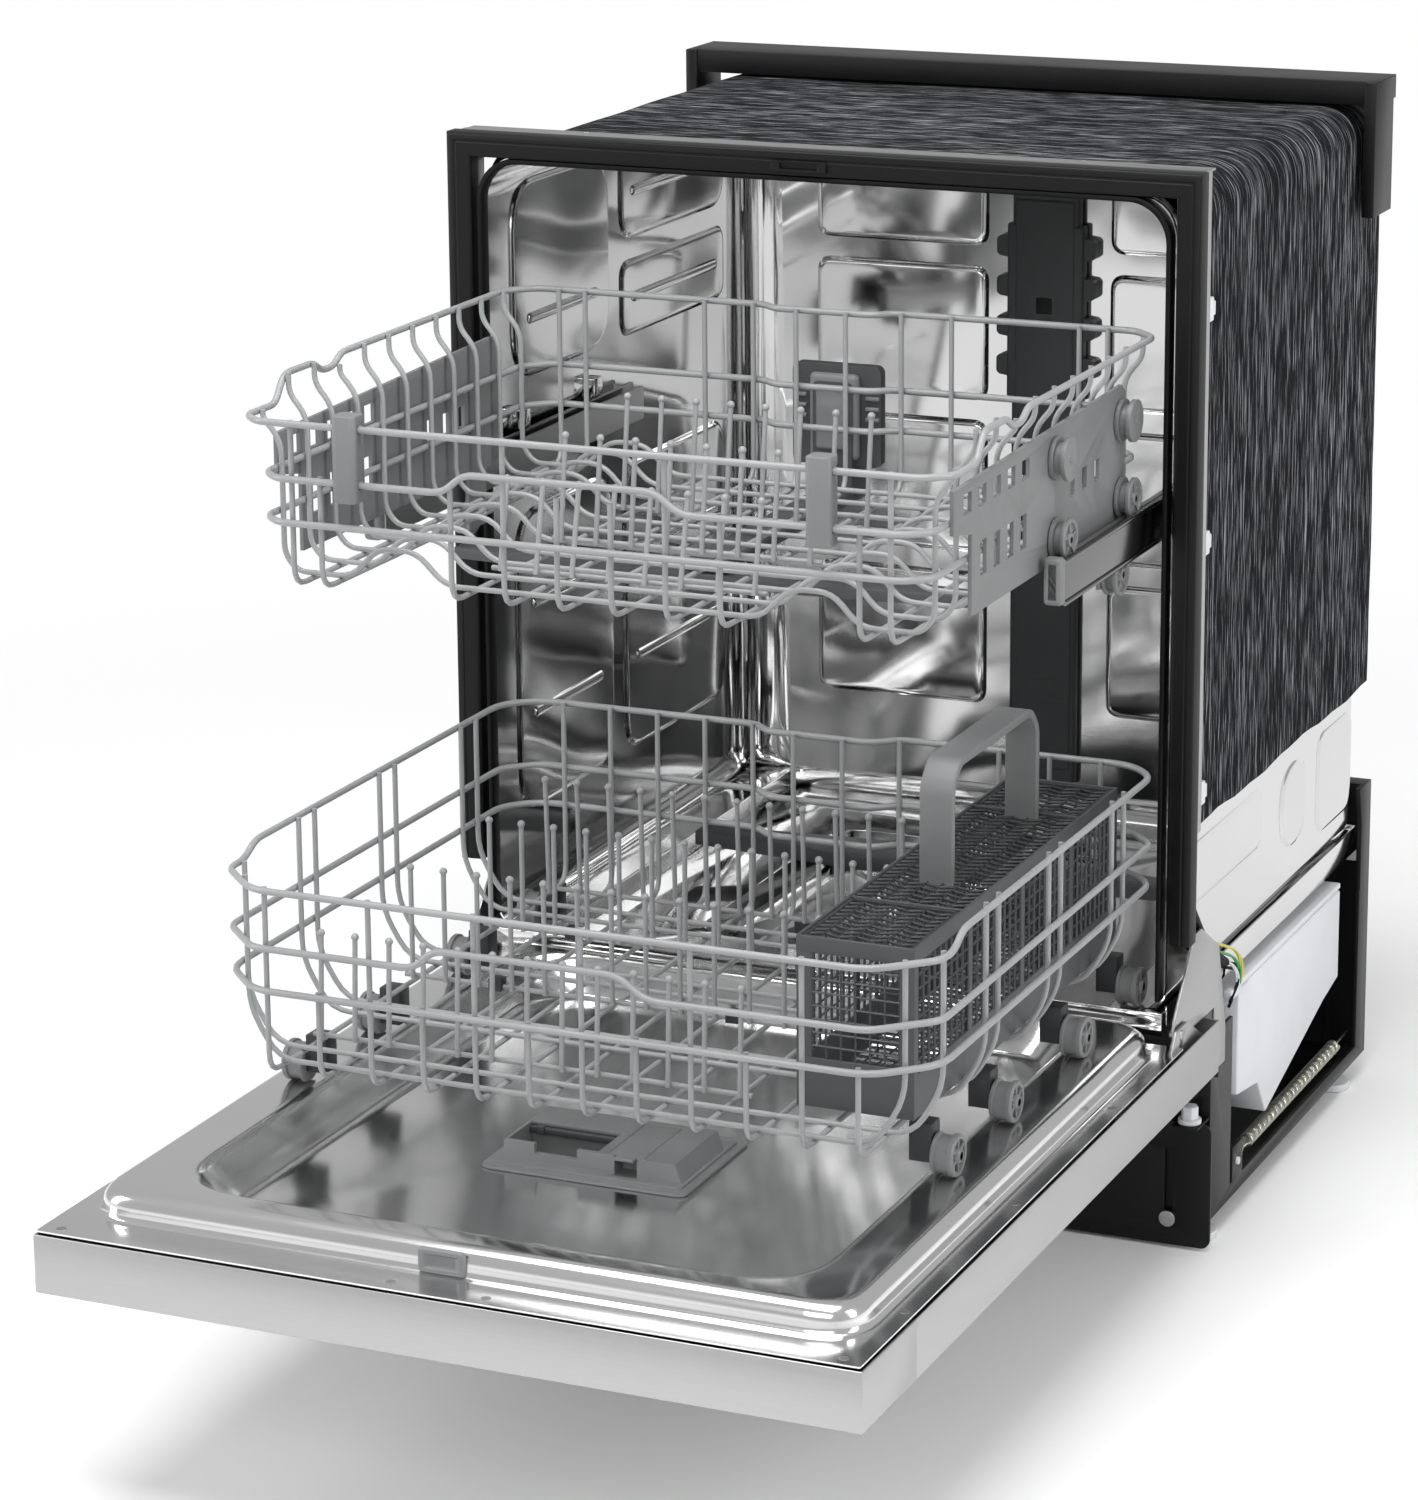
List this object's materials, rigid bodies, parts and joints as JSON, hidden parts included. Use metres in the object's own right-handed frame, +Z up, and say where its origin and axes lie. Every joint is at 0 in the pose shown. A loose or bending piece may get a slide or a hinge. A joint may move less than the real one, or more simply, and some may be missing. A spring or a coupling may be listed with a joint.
{
  "type": "built in dishwasher",
  "caption": "Built-in dishwasher with a fold-down steel door, a polished tub, two wire racks on rollers and rails, a cutlery basket, spray arms and a felt jacket.",
  "frame": {"origin": "on the floor, at the middle of the width, in the plane of the front trim that the closed door seals against", "axes": "+Z up, +X to the right of the person who loads it, -Y out of the front, where the door opens"},
  "size_m": [0.603, 1.192, 0.866],
  "materials": {
    "polished_steel": "polished",
    "brushed_steel": "brushed",
    "zinc_steel": "zinc plated",
    "coated_wire": "smooth nylon coating",
    "grey_plastic": "fine grain",
    "dark_plastic": "fine grain",
    "black_plastic": "satin",
    "white_plastic": "satin",
    "black_rubber": "matte",
    "grey_felt": "streaked fibre",
    "harness_sleeve": "matte"
  },
  "bodies": {
    "cabinet": {"tub_wrap": "polished_steel", "tub_back": "polished_steel", "tub_bottom": "polished_steel", "tub_front_frame": "brushed_steel", "front_trim": "black_plastic", "door_gasket": "black_rubber", "insulation_felt": "grey_felt", "rear_bracket": "black_plastic", "base_frame": "black_plastic", "toe_plate": "black_plastic", "toe_plate_screws": "zinc_steel", "levelling_feet": "white_plastic", "sump_housing": "dark_plastic", "wash_motor": "dark_plastic", "drain_pump": "white_plastic", "inlet_valve": "white_plastic", "filter_mesh": "zinc_steel", "electronics_case": "white_plastic", "electronics_cover": "white_plastic", "balance_springs": "zinc_steel", "spring_cords_and_pulleys": "white_plastic", "hinge_brackets": "zinc_steel", "wire_harness": "harness_sleeve", "rear_duct": "dark_plastic", "latch_striker": "black_plastic"},
    "door": {"door_panel": "brushed_steel", "console": "brushed_steel", "door_liner": "polished_steel", "liner_screws": "zinc_steel", "dispenser_body": "grey_plastic", "latch_housing": "grey_plastic", "hinge_arms": "zinc_steel"},
    "detergent_cover": {"detergent_cover": "dark_plastic"},
    "rinse_aid_lid": {"rinse_aid_lid": "grey_plastic"},
    "dispenser_button": {"dispenser_button": "grey_plastic"},
    "latch_hook": {"latch_hook": "grey_plastic"},
    "lower_rack": {"lower_rack_frame": "coated_wire", "lower_rack_clips": "dark_plastic"},
    "fold_tines_middle": {"fold_tines_middle": "coated_wire"},
    "fold_tines_rear": {"fold_tines_rear": "coated_wire"},
    "basket": {"basket_body": "grey_plastic"},
    "basket_lid_front": {"basket_lid_front": "grey_plastic"},
    "basket_lid_rear": {"basket_lid_rear": "grey_plastic"},
    "upper_rack": {"upper_rack_frame": "coated_wire", "height_plates": "grey_plastic", "rack_front_clips": "grey_plastic", "upper_feed_pipe": "grey_plastic"},
    "upper_rails": {"upper_rails": "brushed_steel"},
    "upper_spray_arm": {"upper_spray_arm": "dark_plastic"},
    "rail_rollers_front": {"rail_rollers_front": "grey_plastic"},
    "rail_rollers_rear": {"rail_rollers_rear": "grey_plastic"},
    "keeper_rollers": {"keeper_rollers": "grey_plastic"},
    "lower_spray_arm": {"lower_spray_arm": "dark_plastic"},
    "filter_cup": {"filter_cup": "grey_plastic"},
    "tub_rollers_front": {"tub_rollers_front": "dark_plastic"},
    "tub_rollers_rear": {"tub_rollers_rear": "dark_plastic"},
    "lower_wheels_1": {"lower_wheels_1": "grey_plastic"},
    "lower_wheels_2": {"lower_wheels_2": "grey_plastic"},
    "lower_wheels_3": {"lower_wheels_3": "grey_plastic"},
    "lower_wheels_4": {"lower_wheels_4": "grey_plastic"}
  },
  "joints": [
    {"name": "door_hinge", "type": "hinge", "parent": "cabinet", "child": "door", "pos_m": [0, 0.004, 0.21], "axis": [1, 0, 0], "range_deg": [0, 1.5], "stiffness_Nm_per_rad": 3000, "springref_deg": -0.54},
    {"name": "detergent_cover_slide", "type": "slide", "parent": "door", "child": "detergent_cover", "axis": [0, -1, 0], "range_m": [0, 0.031]},
    {"name": "rinse_aid_lid_hinge", "type": "hinge", "parent": "door", "child": "rinse_aid_lid", "pos_m": [0.01575, -0.3145, 0.2075], "axis": [-1, 0, 0], "range_deg": [0, 40]},
    {"name": "dispenser_button_press", "type": "slide", "parent": "door", "child": "dispenser_button", "axis": [0, 0, -1], "range_m": [0, 0.003], "stiffness_N_per_m": 400},
    {"name": "latch_hook_press", "type": "slide", "parent": "door", "child": "latch_hook", "axis": [0, 1, 0], "range_m": [0, 0.004], "stiffness_N_per_m": 400},
    {"name": "lower_rack_slide", "type": "slide", "parent": "cabinet", "child": "lower_rack", "axis": [0, 1, 0], "range_m": [0, 0.484]},
    {"name": "lower_wheels_1_roll", "type": "hinge", "parent": "lower_rack", "child": "lower_wheels_1", "pos_m": [0, -0.363, 0.2373], "axis": [1, 0, 0], "continuous": true},
    {"name": "lower_wheels_2_roll", "type": "hinge", "parent": "lower_rack", "child": "lower_wheels_2", "pos_m": [0, -0.249, 0.2373], "axis": [1, 0, 0], "continuous": true},
    {"name": "lower_wheels_3_roll", "type": "hinge", "parent": "lower_rack", "child": "lower_wheels_3", "pos_m": [0, -0.102, 0.2373], "axis": [1, 0, 0], "continuous": true},
    {"name": "lower_wheels_4_roll", "type": "hinge", "parent": "lower_rack", "child": "lower_wheels_4", "pos_m": [0, 0.022, 0.2373], "axis": [1, 0, 0], "continuous": true},
    {"name": "fold_tines_middle_hinge", "type": "hinge", "parent": "lower_rack", "child": "fold_tines_middle", "pos_m": [0, -0.25, 0.271], "axis": [1, 0, 0], "range_deg": [0, 80]},
    {"name": "fold_tines_rear_hinge", "type": "hinge", "parent": "lower_rack", "child": "fold_tines_rear", "pos_m": [0, -0.12, 0.271], "axis": [1, 0, 0], "range_deg": [0, 80]},
    {"name": "basket_lift", "type": "slide", "parent": "lower_rack", "child": "basket", "axis": [0, 0, 1], "range_m": [0, 0.08]},
    {"name": "basket_lid_front_hinge", "type": "hinge", "parent": "basket", "child": "basket_lid_front", "pos_m": [0.196, -0.306, 0.392], "axis": [-1, 0, 0], "range_deg": [0, 90]},
    {"name": "basket_lid_rear_hinge", "type": "hinge", "parent": "basket", "child": "basket_lid_rear", "pos_m": [0.196, -0.062, 0.392], "axis": [1, 0, 0], "range_deg": [0, 90]},
    {"name": "upper_rack_slide", "type": "slide", "parent": "cabinet", "child": "upper_rack", "axis": [0, 1, 0], "range_m": [0, 0.436]},
    {"name": "upper_rails_slide", "type": "slide", "parent": "cabinet", "child": "upper_rails", "axis": [0, 1, 0], "range_m": [0, 0.218]},
    {"name": "rail_rollers_front_roll", "type": "hinge", "parent": "upper_rack", "child": "rail_rollers_front", "pos_m": [0, -0.172, 0.62572], "axis": [1, 0, 0], "continuous": true},
    {"name": "rail_rollers_rear_roll", "type": "hinge", "parent": "upper_rack", "child": "rail_rollers_rear", "pos_m": [0, -0.033, 0.62572], "axis": [1, 0, 0], "continuous": true},
    {"name": "keeper_rollers_roll", "type": "hinge", "parent": "upper_rack", "child": "keeper_rollers", "pos_m": [0, -0.059, 0.57528], "axis": [1, 0, 0], "continuous": true},
    {"name": "upper_spray_arm_spin", "type": "hinge", "parent": "upper_rack", "child": "upper_spray_arm", "pos_m": [0, -0.18, 0.579], "axis": [0, 0, 1], "continuous": true},
    {"name": "tub_rollers_front_roll", "type": "hinge", "parent": "cabinet", "child": "tub_rollers_front", "pos_m": [0, 0.062, 0.57598], "axis": [1, 0, 0], "continuous": true},
    {"name": "tub_rollers_rear_roll", "type": "hinge", "parent": "cabinet", "child": "tub_rollers_rear", "pos_m": [0, 0.196, 0.57598], "axis": [1, 0, 0], "continuous": true},
    {"name": "lower_spray_arm_spin", "type": "hinge", "parent": "cabinet", "child": "lower_spray_arm", "pos_m": [0, 0.27, 0.233], "axis": [0, 0, 1], "continuous": true},
    {"name": "filter_cup_turn", "type": "hinge", "parent": "cabinet", "child": "filter_cup", "pos_m": [-0.066, 0.196, 0.18], "axis": [0, 0, 1], "range_deg": [0, 90]}
  ],
  "couplings": [
    {"joint": "lower_wheels_1_roll", "follows": "lower_rack_slide", "rad_per_m": -66.667},
    {"joint": "lower_wheels_2_roll", "follows": "lower_rack_slide", "rad_per_m": -66.667},
    {"joint": "lower_wheels_3_roll", "follows": "lower_rack_slide", "rad_per_m": -66.667},
    {"joint": "lower_wheels_4_roll", "follows": "lower_rack_slide", "rad_per_m": -66.667},
    {"joint": "upper_rails_slide", "follows": "upper_rack_slide", "ratio": 0.5},
    {"joint": "rail_rollers_front_roll", "follows": "upper_rack_slide", "rad_per_m": -43.86},
    {"joint": "rail_rollers_rear_roll", "follows": "upper_rack_slide", "rad_per_m": -43.86},
    {"joint": "keeper_rollers_roll", "follows": "upper_rack_slide", "rad_per_m": 43.86},
    {"joint": "tub_rollers_front_roll", "follows": "upper_rack_slide", "rad_per_m": -62.5},
    {"joint": "tub_rollers_rear_roll", "follows": "upper_rack_slide", "rad_per_m": -62.5}
  ]
}
